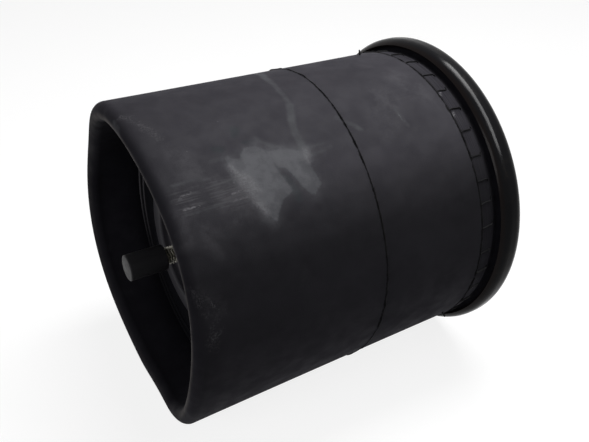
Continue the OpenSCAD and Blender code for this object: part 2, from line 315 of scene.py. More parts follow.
bore = [(-combo_length, inlet_r + inlet_chamfer), (-combo_length + inlet_chamfer, inlet_r)]
bore += [(-combo_length + s, inlet_r) for s in np.arange(1.0, inlet_depth, 0.25)]
bore += [(-combo_length + inlet_depth, inlet_r), (-combo_length + inlet_depth, passage_r)]
shell = stud_profile(combo_d, combo_length, combo_pitch, bore)
shell[0] = (plate_t + head_t, passage_r)
combo = turned("combo_stud_threaded", shell, 96, (stud_y, 0),
               (-thread_start, -combo_length, combo_pitch, thread_share * combo_pitch),
               closed=True)
plain = turned("plain_stud_threaded", stud_profile(plain_d, plain_length, plain_pitch), 72,
               (-stud_y, 0),
               (-thread_start, -plain_length, plain_pitch, thread_share * plain_pitch))
for stud, node in ((combo, "combo_stud"), (plain, "plain_stud")):
    stud.data.materials.append(zinc)
    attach(stud, "upper_end")
    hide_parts(node)


# Bead wires and fillers: rings of bronze coated wire in wedges of rubber, which hold the two
# ends of the sleeve. They lie inside the crimp and behind the closure, out of sight.

def dull_rubber(name, color):
    """Matte moulded rubber with a fine grain and a faint bloom."""
    material, tree, surface = shader(name, color, 0.7, specular=0.04)
    place = add_node(tree, "ShaderNodeTexCoord").outputs["Object"]
    bloom = noise(tree, place, 45, 4)
    lighter = tuple(1.5 * value for value in color)
    tree.links.new(blend_color(tree, bloom, color, lighter), surface.inputs["Base Color"])
    tree.links.new(remap(tree, bloom, 0.3, 0.7, 0.6, 0.8), surface.inputs["Roughness"])
    bump(tree, surface, noise(tree, place, 900, 3), 0.00008, 0.4)
    return material


bead_wire = plated_steel("bronze_coated_wire", (0.36, 0.31, 0.24), (0.22, 0.17, 0.11))
filler_rubber = dull_rubber("filler_rubber", (0.020, 0.020, 0.021))
for node, material in (("upper_bead_core", bead_wire), ("lower_bead_core", bead_wire),
                       ("upper_bead_filler", filler_rubber), ("lower_bead_filler", filler_rubber)):
    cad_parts[node].data.materials.clear()
    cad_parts[node].data.materials.append(material)


# Sleeve: an outer rubber cover, two rubberised cord plies and an inner liner, cured together
# in a mould that leaves its lines on the outside. It is made in two stretches for each layer:
# the outer wall with its fold, and the turned-in wall that ends behind the closure.

sleeve_inset, closure_inset = 7.3, 12.3
sleeve_r = plate_r - sleeve_inset
cover_t, plies_t, liner_t = 2.0, 1.6, 1.4
wall_t = cover_t + plies_t + liner_t
bond_gap = 0.05
bead_r = plate_r - plate_t - 0.3
neck_d, neck_r = rim_h + 0.5, sleeve_r - 2.5
upper_line, middle_line = 33.5, 115.0
fold_reach, fold_r, lobe_growth = 248.0, 6.5, 5.5
closure_t, face_t = 3.5, 3.5
closure_face = -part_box("closure_rubber")[1].x / MM + closure_t + face_t
closure_r = sleeve_r - closure_inset
inner_wall_r = closure_r + 0.6
tuck_bend_r, tuck_gap, tuck_reach = 3.0, 1.8, 14
tuck_start = closure_face - closure_t - face_t - tuck_gap
lobe_waves = ((1, 4.3, -45), (2, 2.2, -77), (3, 2.3, -13), (4, 2.4, -7))
edge_waves = ((1, 5.4, -31), (2, 1.0, -25), (3, 2.4, 27))


def wave(waves, angle):
    """Sum of height x cos(count x (angle - first crest)), with angles in degrees."""
    return sum(height * np.cos(np.radians(count * (angle - crest)))
               for count, height, crest in waves)


def lobe_radius(angle):
    """Radius of the folded lobe: it grows in waves, and lies flat on the ground.

    The lower of the wavy radius and the ground's, plate_r / -sin(angle), is rounded where
    they meet by -s ln(exp(-p / s) + exp(-q / s))."""
    wavy = sleeve_r + lobe_growth + wave(lobe_waves, angle)
    ground = plate_r / np.maximum(0.3, -np.sin(np.radians(angle)))
    soft = 1.2
    return -soft * np.log(np.exp(-wavy / soft) + np.exp(-ground / soft))


def fold_start(angle):
    """Distance from the plate's face at which the outer wall goes over into the fold."""
    return fold_reach - wave(edge_waves, angle) - fold_r


def uneven(angle, seed, count):
    """A row of random heights from 0 to 1 round the sleeve, joined by straight lines."""
    values = np.random.default_rng(seed).random(count)
    values = np.append(values, values[0])
    return np.interp(angle % 360, np.linspace(0, 360, count + 1), values)


def ring(d, r, angle):
    """Points at distance d and radius r, for angle in degrees: (-d, r cos a, r sin a)."""
    a = np.radians(angle)
    return np.stack([-d, r * np.cos(a), r * np.sin(a)], -1)


def outer_wall(depth, angle):
    """Distance and radius of the outer wall and the fold, depth mm under the outside.

    From the bead, through a smoothed line of points, to the upper mould line, then in a
    straight flare from sleeve_r to lobe_radius, and round the fold by
    d = start + (fold_r - depth) sin b and r = top - fold_r + (fold_r - depth) cos b."""
    start, top = fold_start(angle), lobe_radius(angle)
    bead_d = [plate_t + 0.5, plate_t + 2, 9, 12, 16, neck_d - 1.5, neck_d + 0.5, neck_d + 4.5,
              upper_line - 0.8, 60]
    bead_line = [bead_r - 4, bead_r - 1.8, bead_r, bead_r - 0.2, bead_r - 2.6, neck_r + 0.9,
                 neck_r, sleeve_r - 0.9, sleeve_r, sleeve_r]
    fine = np.arange(0, 60, 0.25)
    kernel = np.hanning(9) / np.hanning(9).sum()
    smooth_line = np.convolve(np.pad(np.interp(fine, bead_d, bead_line), 4, "edge"), kernel,
                              "valid")
    flash = 0.35 + 1.0 * uneven(angle, 3, 130) ** 2 if depth == 0 else 0 * angle
    upper_flash = 0.3 + 0.7 * uneven(angle, 5, 140) ** 2 if depth == 0 else 0 * angle

    rows = []
    for d in np.concatenate([np.linspace(plate_t + 0.5, 19, 16), np.linspace(20, 32.4, 14)]):
        rows.append((d + 0 * angle, np.interp(d, fine, smooth_line) + 0 * angle))
    for step, height in ((-0.7, 0), (-0.3, 0.6), (0, 1), (0.3, 0.6), (0.7, 0)):
        rows.append((upper_line + step + 0 * angle, sleeve_r + height * upper_flash))

    def flare(d):
        return sleeve_r + (top - sleeve_r) * (d - upper_line) / (start - upper_line)

    for d in np.linspace(36, middle_line - 2, 30):
        rows.append((d + 0 * angle, flare(d)))
    for step, height in ((-0.8, 0), (-0.35, 0.6), (0, 1), (0.35, 0.6), (0.8, 0)):
        rows.append((middle_line + step + 0 * angle,
                     flare(middle_line + step) + height * flash))
    for share in np.linspace(0.02, 1, 64):
        d = middle_line + (start - middle_line) * share
        rows.append((d, flare(d)))
    rows = [(d, r - depth) for d, r in rows]
    for b in np.radians(np.linspace(0, 180, 25))[1:]:
        rows.append((start + (fold_r - depth) * np.sin(b),
                     top - fold_r + (fold_r - depth) * np.cos(b)))
    return np.array(rows)


def turned_in_wall(depth, angle):
    """Distance and radius of the turned-in wall and its tucked end, depth mm under the outside.

    r goes from top - 2 fold_r to inner_wall_r by the smooth step t t (3 - 2 t), and the end
    turns in behind the closure round a bend of tuck_bend_r + depth."""
    start, top = fold_start(angle), lobe_radius(angle)
    rows = []
    for t in np.linspace(0, 1, 40):
        rows.append((start + (closure_face - start) * t,
                     top - 2 * fold_r + (inner_wall_r - top + 2 * fold_r) * t * t * (3 - 2 * t)
                     + depth))
    bend = tuck_bend_r + depth
    for b in np.radians(np.linspace(0, 90, 8)):
        rows.append((tuck_start - bend * np.sin(b) + 0 * angle,
                     inner_wall_r - tuck_bend_r + bend * np.cos(b) + 0 * angle))
    rows.append((tuck_start - bend + 0 * angle, closure_r - tuck_reach + 0 * angle))
    return np.array(rows)


def sleeve_layer(name, wall, depth_out, depth_in, columns):
    """A closed layer between two depths: the outer rows forwards, then the inner rows back."""
    angle = np.arange(columns) * 360 / columns - 90
    outer, inner = wall(depth_out, angle), wall(depth_in, angle)
    kept = np.unique(np.append(np.arange(0, len(inner), 3), len(inner) - 1))
    section = np.concatenate([outer, inner[kept[::-1]]])
    points = ring(section[:, 0], section[:, 1], angle)
    made = mesh_object(name, points.reshape(-1, 3), grid_faces(len(section), columns, True))
    rest = np.zeros(len(made.data.vertices) * 3, np.float32)
    made.data.vertices.foreach_get("co", rest)
    made.data.attributes.new("rest", "FLOAT_VECTOR", "POINT").data.foreach_set("vector", rest)
    return made


def vertex_places(mesh):
    """The mesh's vertices: x, y and z in mm, and the angle round the axis in degrees."""
    places = np.zeros(len(mesh.vertices) * 3, np.float32)
    mesh.vertices.foreach_get("co", places)
    x, y, z = places.reshape(-1, 3).T / MM
    return x, y, z, np.degrees(np.arctan2(z, y))


def keep_values(mesh, name, values):
    """Keeps one number for each vertex in an attribute, which the material reads."""
    kept = mesh.attributes.new(name, "FLOAT", "POINT")
    kept.data.foreach_set("value", values.astype(np.float32))


def near_line(points, line):
    """Distance in mm of points, in the flat (d, arc) sheet, from a line through some points."""
    nearest = np.full(len(points), 1e9)
    for start, end in zip(line[:-1], line[1:]):
        way = end - start
        along = np.clip(((points - start) @ way) / (way @ way), 0, 1)
        nearest = np.minimum(nearest, np.hypot(*(points - start - along[:, None] * way).T))
    return nearest


def inside(points, outline):
    """True for the points inside a closed outline: a line out of it crosses it an odd number
    of times."""
    crossings = np.zeros(len(points), bool)
    for (x0, y0), (x1, y1) in zip(outline, np.roll(outline, -1, 0)):
        spans = (y0 > points[:, 1]) != (y1 > points[:, 1])
        at = x0 + (points[:, 1] - y0) * (x1 - x0) / (y1 - y0 if y1 != y0 else 1e-9)
        crossings ^= spans & (points[:, 0] < at)
    return crossings


sheet_r = 108
not_marked = -9.0


def flat(marks):
    """Marks given as (distance in mm, angle in degrees), laid out on a flat sheet in mm.

    The sheet is the sleeve unrolled at sheet_r: (distance, sheet_r x angle)."""
    return np.array(marks, float) * (1, math.radians(1) * sheet_r)


def mark_depth(mesh, name, shapes):
    """Keeps in an attribute how far each vertex lies inside the shapes, in mm.

    A shape is ("patch", outline) or ("stroke", line, half width), and outside it the value
    is negative."""
    x, y, z, angle = vertex_places(mesh)
    sheet = flat(np.stack([-x, np.where(angle < -90, angle + 360, angle)], -1))
    depth = np.full(len(sheet), not_marked)
    for kind, line, *width in shapes:
        line = flat(line)
        if kind == "patch":
            away = near_line(sheet, np.vstack([line, line[:1]]))
            found = np.where(inside(sheet, line), away, -away)
        else:
            found = width[0] - near_line(sheet, line)
        depth = np.maximum(depth, found)
    on_outside = np.hypot(y, z) > closure_r + 6
    keep_values(mesh, name, np.where(on_outside, depth, not_marked))


bright_dust = [
    ("patch", [(202.1, 119.5), (199.8, 120.8), (194.5, 122.4), (192.0, 120.3), (188.5, 118.8),
               (181.0, 118.9), (176.6, 121.2), (174.4, 124.6), (174.7, 127.7), (173.3, 130.3),
               (171.2, 133.5), (169.7, 137.0), (177.6, 139.0), (182.0, 141.7), (186.1, 145.2),
               (190.9, 141.6), (194.3, 138.3), (196.1, 134.6), (198.5, 131.1), (200.4, 127.6),
               (201.9, 124.7), (203.4, 122.4)]),
    ("patch", [(176.5, 122.0), (168.8, 122.3), (161.7, 122.9), (156.4, 124.2), (149.8, 125.2),
               (151.5, 128.4), (151.0, 132.2), (148.9, 137.3), (152.4, 138.6), (156.0, 140.4),
               (159.7, 138.7), (162.4, 136.0), (165.3, 132.0), (167.7, 129.2), (172.6, 128.0)]),
]
faint_dust = [
    ("stroke", [(134.0, 75.4), (139.8, 86.0), (140.1, 91.0)], 2.4),
    ("stroke", [(140.1, 91.0), (141.8, 97.0), (142.1, 101.9), (142.9, 106.1)], 1.6),
    ("stroke", [(142.9, 106.1), (147.0, 110.5), (149.9, 113.9), (151.5, 118.0), (151.2, 121.4),
                (151.8, 126.6)], 2.6),
    ("stroke", [(178.3, 116.0), (175.6, 118.1), (170.6, 120.4), (165.1, 122.1), (158.6, 123.9)],
     1.1),
    ("stroke", [(149.3, 124.6), (141.4, 124.1), (136.4, 124.1)], 0.7),
    ("stroke", [(150.5, 127.3), (141.3, 126.7), (131.6, 125.8)], 0.6),
    ("stroke", [(118.1, 116.1), (113.6, 118.0), (106.0, 122.6)], 1.6),
    ("stroke", [(212.8, 120.5), (202.0, 120.5)], 0.9),
    ("stroke", [(216.6, 127.9), (207.7, 128.1), (197.8, 128.0)], 0.8),
    ("stroke", [(73.6, 118.5), (71.0, 125.9)], 1.0),
    ("stroke", [(253.4, 94.0), (254.2, 99.7)], 0.4),
    ("stroke", [(240.7, 125.1), (229.4, 125.0), (218.8, 125.5)], 0.5),
    ("stroke", [(239.6, 134.8), (227.1, 135.1), (215.9, 134.7)], 0.5),
]
# Brighter dust along the lower left edges of the dust patches, partly a painted highlight.
dust_and_highlight_edge = [
    ("stroke", [(201.5, 124.0), (199.5, 129.6), (196.9, 133.1), (194.4, 137.1), (190.5, 141.0)],
     1.6),
    ("stroke", [(199.4, 127.2), (194.0, 130.4), (192.0, 133.0)], 2.6),
    ("stroke", [(150.0, 125.0), (151.3, 128.6)], 0.8),
]
# Hazy patches near the fold, and two patches on top near the crimp that are a painted pool of
# light.
haze_and_light_pool = [
    ("patch", [(80.4, 106.0), (62.4, 107.4), (65.6, 116.7), (77.0, 125.7), (94.2, 129.4),
               (94.5, 118.2)]),
    ("patch", [(66.0, 90.0), (37.9, 104.0), (38.2, 123.0), (58.0, 114.8)]),
    ("patch", [(244.0, 133.2), (238.7, 132.7), (235.9, 137.7), (239.6, 143.6), (246.3, 144.4),
               (246.4, 138.7)]),
    ("patch", [(232.8, 141.7), (223.1, 139.6), (214.1, 137.7), (204.4, 134.1), (198.2, 139.2),
               (205.3, 142.3), (216.8, 143.8), (228.9, 144.6)]),
    ("patch", [(238, 135), (234, 145), (226, 150), (228, 138)]),
    ("patch", [(244, 158), (243, 165), (238, 170), (233, 168), (237, 161)]),
    ("patch", [(236, 112), (237, 124), (218, 131), (214, 124), (224, 113)]),
    ("patch", [(222, 123), (200, 125), (192, 139), (204, 143), (220, 138)]),
]
dull_spots = [
    ("patch", [(191.2, 109.7), (183.9, 110.7), (188.3, 113.9), (192.6, 114.2)]),
    ("patch", [(188.4, 116.4), (179.5, 116.8), (186.7, 118.0)]),
    ("patch", [(208.7, 115.5), (200.0, 116.6), (202.7, 118.7), (207.8, 117.6)]),
    ("patch", [(172.2, 130.4), (168.7, 131.6), (164.9, 136.7), (165.0, 140.8), (168.9, 141.3),
               (170.3, 137.3)]),
]
scuffs = [
    ("patch", [(243, 127.4), (226, 127.8), (226, 135.4), (242, 135.0)]),
    ("patch", [(220, 126.4), (199, 126.8), (195.0, 132.6), (193.5, 137.6), (212, 137.0),
               (221, 135.2)]),
]
flecks = [
    ("patch", [(249.0, 157.6), (240.6, 162.0), (231.6, 167.8), (236.0, 169.8), (243.6, 167.0)]),
    ("patch", [(241.0, 170.4), (234.6, 173.2), (239.6, 179.8), (245.0, 179.4), (244.0, 173.6)]),
    ("stroke", [(247.4, 96.0), (243.4, 99.0), (239.0, 103.4), (236.4, 108.0)], 2.6),
    ("patch", [(207.0, 131.6), (197.0, 131.4), (195.6, 135.8), (208.6, 135.6)]),
]
nicks = [
    ("stroke", [(240.4, 129.6), (236.0, 129.1), (231.6, 128.7)], 0.8),
    ("stroke", [(239.2, 133.3), (234.0, 133.3), (229.4, 133.4)], 0.7),
    ("stroke", [(207.8, 132.6), (199.1, 132.4)], 0.6),
    ("stroke", [(208.8, 134.8), (203.0, 134.7), (197.4, 134.7)], 0.6),
    ("stroke", [(203.8, 129.0), (198.0, 128.4)], 0.5),
    ("stroke", [(222.9, 115.0), (222.5, 115.3)], 0.8),
    ("stroke", [(195.1, 106.3), (194.7, 106.6)], 0.6),
    ("stroke", [(30.6, 115.6), (32.0, 117.0)], 0.9),
    ("stroke", [(31.0, 125.3), (32.2, 126.9)], 1.1),
    ("stroke", [(72.6, 120.6), (71.6, 124.4)], 0.8),
]


def fold_travel(d, r, angle):
    """How far along the sleeve a point lies past the start of the fold, in mm.

    On the outer wall it is d - start, which is negative, and on the fold it is
    fold_r x arctan((d - start) / (r - top + fold_r))."""
    ahead = d - fold_start(angle)
    turned_by = np.arctan2(np.maximum(ahead, 0), r - lobe_radius(angle) + fold_r)
    return np.where(ahead > -0.01, fold_r * turned_by, ahead)


def keep_bloom_painted_light_and_wear(mesh, turned_in):
    """Keeps two attributes: how much grey bloom, with painted light and shade in it, is left, and
    how worn the fold's crest is.

    The bloom is thick along the top and low on the near side, with a thin band between them,
    partly painted light and shade round the sleeve. It is mostly wiped off on the fold, fades
    away inside it as painted shade of the recess, and falls almost to nothing at the crimp as
    a painted shadow under the plate's lip."""
    x, y, z, angle = vertex_places(mesh)
    travel = fold_travel(-x, np.hypot(y, z), angle)
    if turned_in:
        travel = np.full(len(x), np.pi * fold_r)
    bloom = np.interp(travel, [-210, -70, -16, -3, 5, 10, 16, 20],
                      [1, 0.90, 0.74, 0.62, 0.34, 0.30, 0.22, 0.20])
    from_below = (angle + 90) % 360
    # Painted light and shade round the sleeve: a painted band of light on the upper wall, painted
    # shade across the middle of the near side, and painted light on its unlit lower part.
    outside = np.interp(from_below,
                        [90, 145, 170, 190, 205, 222, 228, 234, 246, 253, 260, 285, 305, 325],
                        [0.60, 0.60, 0.70, 0.86, 1.0, 1.0, 0.80, 0.54, 0.20, 0.26, 0.46, 0.70,
                         0.98, 1.0])
    inside_fold = np.interp(from_below, [0, 15, 60, 100, 300, 360], [0.8, 1, 1, 0.45, 0.45, 0.8])
    on_fold = np.clip(travel / 16, 0, 1)
    bloom = bloom * (outside * (1 - on_fold) + inside_fold * on_fold)
    # Painted shade: deeper in the recess the turned-in wall goes black.
    if turned_in:
        bloom = bloom * np.interp(-x, [208, 224, 240], [0.0, 0.35, 1.0])
    # Painted shadow: the rubber under the plate's lip is made nearly black.
    bloom = bloom * np.interp(-x, [19.5, 22.5], [0.06, 1])
    crest = np.interp(travel, [9, 11.5, 14, 16], [0, 1, 1, 0])
    crest = crest * np.interp(from_below, [0, 140, 175, 310, 335], [0.12, 0.12, 1, 1, 0.12])
    keep_values(mesh, "bloom", bloom)
    keep_values(mesh, "worn_crest", crest)


def cover_rubber():
    """Matte black rubber with a grey bloom that also carries painted light and shade, handling
    dust in patches, hazy patches, scuffs along the axis, near-black painted shade along the mould
    lines, and darker rubber inside the fold, where painted shade darkens it into the recess.

    It follows the rest position, because the wall moves where it rolls."""
    material, tree, surface = shader("cover_rubber", (0.033, 0.032, 0.037), 0.78, specular=0.035)
    rest = add_node(tree, "ShaderNodeAttribute", attribute_name="rest").outputs["Vector"]

    def mark(name, soft, rough, grain=260):
        """1 inside a mark and 0 outside. Its edge is soft mm wide each way and rough mm uneven."""
        depth = add_node(tree, "ShaderNodeAttribute", attribute_name=name).outputs["Fac"]
        edge = combine(tree, "MULTIPLY",
                       combine(tree, "SUBTRACT", noise(tree, rest, grain, 3), 0.5), rough)
        return remap(tree, combine(tree, "ADD", depth, edge), -soft, soft)

    def paint(factor, share, color, over):
        """color, with another colour over it where factor x share is high."""
        return blend_color(tree, combine(tree, "MULTIPLY", factor, share), color, over)

    bloom = add_node(tree, "ShaderNodeAttribute", attribute_name="bloom").outputs["Fac"]
    cloud = remap(tree, noise(tree, rest, 16, 4, 0.6), 0.35, 0.68)
    mottle = remap(tree, noise(tree, rest, 70, 4), 0.3, 0.7, 0.45, 1.0)
    mottle_film = remap(tree, noise(tree, rest, 85, 5, 0.65), 0.3, 0.62, 0.68, 1.0)
    streaks = noise(tree, scaled(tree, rest, (26, 420, 420)), 1, 4, 0.6)
    fine_streaks = noise(tree, scaled(tree, rest, (110, 1900, 1900)), 1, 3, 0.6)
    grey = blend_color(tree, cloud, (0.0334, 0.0319, 0.0388), (0.0416, 0.0397, 0.0478))
    grey = paint(remap(tree, streaks, 0.55, 0.8), 0.3, grey, (0.050, 0.048, 0.054))
    x = add_node(tree, "ShaderNodeSeparateXYZ", [("Vector", rest)]).outputs["X"]
    on_band = remap(tree, x, -(upper_line + 0.5) * MM, -(upper_line - 0.5) * MM)
    rings = noise(tree, scaled(tree, rest, (1500, 14, 14)), 1, 3, 0.6)
    grey = paint(on_band, remap(tree, rings, 0.44, 0.56, 0.9, 0.35), grey,
                 (0.0110, 0.0100, 0.0140))
    # The bloom attribute mixes the real grey bloom with painted light and shade.
    color = blend_color(tree, bloom, (0.0030, 0.0028, 0.0042), grey)
    worn = add_node(tree, "ShaderNodeAttribute", attribute_name="worn_crest").outputs["Fac"]
    color = paint(worn, remap(tree, noise(tree, rest, 120, 4), 0.3, 0.6, 0.4, 0.9), color,
                  (0.072, 0.067, 0.066))
    smoke = remap(tree, noise(tree, rest, 48, 5, 0.7), 0.36, 0.62)
    # Hazy patches, partly a painted pool of light on top near the crimp.
    color = paint(mark("haze_and_light_pool", 6.0, 14.0, 90), combine(tree, "MULTIPLY", smoke, 0.48), color,
                  (0.070, 0.068, 0.076))
    color = paint(mark("dull_spots", 1.6, 3.0), 0.75, color, (0.0250, 0.0285, 0.0330))
    color = paint(mark("faint_dust", 1.5, 2.4), mottle, color, (0.056, 0.057, 0.063))
    film = combine(tree, "MULTIPLY", mottle_film, remap(tree, smoke, 0, 1, 0.62, 1.0))
    color = paint(mark("bright_dust", 0.9, 2.2, 420), film, color, (0.081, 0.083, 0.091))
    color = paint(mark("bright_dust", 8.0, 14.0, 60),
                  remap(tree, smoke, 0, 1, 0.35, 0.75), color, (0.108, 0.109, 0.119))
    grit = remap(tree, noise(tree, rest, 620, 2), 0.40, 0.60, 0.55, 1.0)
    # Dust along the patches' edges, partly a painted highlight.
    color = paint(mark("dust_and_highlight_edge", 3.4, 4.0), grit, color, (0.150, 0.149, 0.160))
    scratches = noise(tree, scaled(tree, rest, (55, 900, 900)), 1, 3, 0.6)
    color = paint(mark("scuffs", 4.0, 9.0), remap(tree, scratches, 0.44, 0.60, 0.08, 0.6), color,
                  (0.072, 0.070, 0.077))
    specks = combine(tree, "MULTIPLY", remap(tree, noise(tree, rest, 900, 3, 0.7), 0.42, 0.68),
                     remap(tree, noise(tree, rest, 130, 3), 0.38, 0.60, 0.12, 0.8))
    color = paint(mark("flecks", 3.0, 7.0), specks, color, (0.066, 0.064, 0.070))
    broken = remap(tree, noise(tree, scaled(tree, rest, (420, 900, 900)), 1, 3), 0.40, 0.62,
                   0.0, 0.8)
    color = paint(mark("nicks", 0.7, 1.0, 700), broken, color, (0.150, 0.146, 0.158))

    # Painted shade: the mould lines are near-black lines, for the shadow and groove beside the
    # flash.
    for line in (upper_line, middle_line):
        away = combine(tree, "ABSOLUTE", combine(tree, "ADD", x, line * MM), 0.0)
        uneven_edge = combine(tree, "MULTIPLY", noise(tree, rest, 230, 3, 0.7), 0.0024)
        away = combine(tree, "ADD", away, uneven_edge)
        mould_line_shade = remap(tree, away, 0.0015, 0.0023, 0.98, 0.0)
        color = blend_color(tree, mould_line_shade, color, (0.0010, 0.0010, 0.0011))
    tree.links.new(color, surface.inputs["Base Color"])
    tree.links.new(remap(tree, noise(tree, rest, 90, 4), 0.3, 0.7, 0.70, 0.86),
                   surface.inputs["Roughness"])
    grain = combine(tree, "ADD", noise(tree, rest, 1500, 3),
                    combine(tree, "MULTIPLY", fine_streaks, 0.7))
    grain = combine(tree, "ADD", grain, combine(tree, "MULTIPLY", noise(tree, rest, 55, 2), 4.0))
    bump(tree, surface, grain, 0.00012, 0.5)
    return material


layer_specs = (
    ("cover", 0, cover_t, 432, cover_rubber(), "cover_rubber", "outer_cover"),
    ("plies", cover_t + bond_gap, cover_t + plies_t, 216,
     dull_rubber("rubberised_cord", (0.12, 0.10, 0.07)), "rubberised_cord", "cord_plies"),
    ("liner", cover_t + plies_t + bond_gap, wall_t, 216,
     dull_rubber("liner_rubber", (0.020, 0.020, 0.021)), "inner_rubber", "inner_liner"),
)
for layer, depth_out, depth_in, columns, material, slot, node in layer_specs:
    outer = sleeve_layer("sleeve_" + layer, outer_wall, depth_out, depth_in, columns)
    inner = sleeve_layer("turned_in_" + layer, turned_in_wall, depth_out, depth_in, columns)
    for piece in (outer, inner):
        piece.data.materials.append(material)
        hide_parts(node)
        if layer == "cover":
            keep_bloom_painted_light_and_wear(piece.data, piece == inner)
            for mark_name, shapes in (("bright_dust", bright_dust), ("faint_dust", faint_dust),
                                      ("dust_and_highlight_edge", dust_and_highlight_edge), ("haze_and_light_pool", haze_and_light_pool),
                                      ("dull_spots", dull_spots), ("scuffs", scuffs),
                                      ("flecks", flecks), ("nicks", nicks)):
                mark_depth(piece.data, mark_name, shapes)
    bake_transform(outer)
    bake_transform(inner)


# Mould flash: thin fins of rubber that were squeezed into the joints of the mould, across the
# band beside the crimp, and two hairs from the mould's vents a little past the band. They are
# part of the cover, and too small for its grid to carry.

end_taper, root_depth = 0.35, 0.3


def fin(path, angle_of, height, width):
    """Points of a fin, as rings of four along a path of (distance, arc) points in mm.

    Each ring stands on the sleeve: two corners in its surface, and two at the fin's height."""
    path = np.array(path, float)
    step = np.gradient(path, axis=0)
    side = np.stack([-step[:, 1], step[:, 0]], -1)
    side /= np.linalg.norm(side, axis=1)[:, None]
    taper = np.ones(len(path))
    taper[[0, -1]] = end_taper
    corners = []
    for shift, lift in ((-1, -root_depth), (-0.45, 1), (0.45, 1), (1, -root_depth)):
        at = path + side * (shift * width / 2 * taper)[:, None]
        r = band_radius(at[:, 0]) + np.where(lift > 0, height * taper, lift)
        corners.append(ring(at[:, 0], r, angle_of + np.degrees(at[:, 1] / sleeve_r)))
    return np.stack(corners, 1)


def band_radius(d):
    """Radius of the sleeve between the crimp and the upper mould line."""
    return np.interp(d, [neck_d - 1.5, neck_d + 0.5, neck_d + 4.5, upper_line - 0.8],
                     [neck_r + 0.9, neck_r, sleeve_r - 0.9, sleeve_r])


random = np.random.default_rng(11)
fin_paths = []
fin_count, first_fin = 38, 95.5
for index in range(fin_count):
    angle_of = first_fin + index * 360 / fin_count + random.uniform(-0.7, 0.7)
    hook = random.uniform(1.0, 4.2) * random.choice([-1, 1])
    foot = random.uniform(0.6, 1.8)
    path = [(33.6, foot), (33.0, foot * 0.4), (32.0, 0), (29.5, random.uniform(-0.3, 0.3)),
            (27.0, random.uniform(-0.3, 0.3)), (24.8, 0), (23.6, 0.2 * hook),
            (23.4, 0.5 * hook), (23.2, hook)]
    fin_paths.append((path, angle_of, random.uniform(0.8, 1.3), random.uniform(1.0, 1.5)))
vent_hairs = ((47.5, 75.0, 4.4), (43.5, 216.0, 4.2))
for d, angle_of, height in vent_hairs:
    path = [(d - 0.6, 0), (d - 0.45, 0), (d + 0.45, 0.2), (d + 0.6, 0.2)]
    fin_paths.append((path, angle_of, height, 1.2))

fin_points, fin_faces, base = [], [], 0
for path, angle_of, height, width in fin_paths:
    points = fin(path, angle_of, height, width).reshape(-1, 3)
    ends = np.array([[0, 1, 2, 3], len(points) - 1 - np.arange(4)])
    fin_faces += [base + grid_faces(len(points) // 4, 4, False), base + ends]
    fin_points.append(points)
    base += len(points)
fins = mesh_object("mould_flash_fins", np.concatenate(fin_points), np.concatenate(fin_faces))
fins.data.materials.append(dull_rubber("flash_rubber", (0.0035, 0.0035, 0.004)))
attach(fins, "upper_end")


# Lower closure: a pressed steel disc, painted satin black, whose raised ring locates the
# piston. A rubber face with two sealing ridges is moulded round its edge.

hub_r, hub_land, hub_h, hub_bend_r = 57.0, 13.0, 4.5, 1.6
lower_stud_d, lower_stud_length = 12.7, 44.0
steel_front = closure_face - face_t
steel_back = steel_front - closure_t
hub_front = closure_face + hub_h
land_r = hub_r - hub_land
neck_bore = lower_stud_d / 2 + neck_rim + weld_gap


def satin_paint():
    """Satin black paint, worn a little at random, with a fine orange peel."""
    material, tree, surface = shader("satin_black_paint", (0.026, 0.026, 0.029), 0.5,
                                     specular=0.05)
    place = add_node(tree, "ShaderNodeTexCoord").outputs["Object"]
    wear = remap(tree, noise(tree, place, 70, 6, 0.7), 0.55, 0.8)
    tree.links.new(blend_color(tree, wear, (0.024, 0.023, 0.027), (0.050, 0.048, 0.050)),
                   surface.inputs["Base Color"])
    tree.links.new(remap(tree, wear, 0, 1, 0.36, 0.55), surface.inputs["Roughness"])
    bump(tree, surface, noise(tree, place, 420, 2), 0.0001, 0.5)
    return material


steel = [(steel_back, closure_r - face_t), (steel_front, closure_r - face_t)]
steel += [(steel_front, hub_r + 1.2), (steel_front + 0.4, hub_r + 0.3)]
steel += arc(hub_front - hub_bend_r, hub_r - hub_bend_r, hub_bend_r, 0, 90, 6)
steel += arc(hub_front - hub_bend_r, land_r + hub_bend_r, hub_bend_r, 90, 180, 6)
steel += [(closure_face + 1.0, land_r), (closure_face + 0.3, land_r - 0.3)]
steel += [(closure_face, land_r - 1.0), (closure_face, neck_bore)]
steel += [(closure_face - closure_t, neck_bore), (closure_face - closure_t, land_r + closure_t),
          (hub_front - closure_t, land_r + closure_t), (hub_front - closure_t, hub_r - closure_t),
          (steel_back, hub_r - closure_t)]
closure = turned("closure_pressing", steel, 240, closed=True)
closure.data.materials.append(satin_paint())
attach(closure, "closure")
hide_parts("closure_plate")

ridge_h = 1.4
ridge_insets = (10.2, 2.7)
highlight_shift = 0.9
face_in_r = hub_r + 0.3
edge_r = 0.8


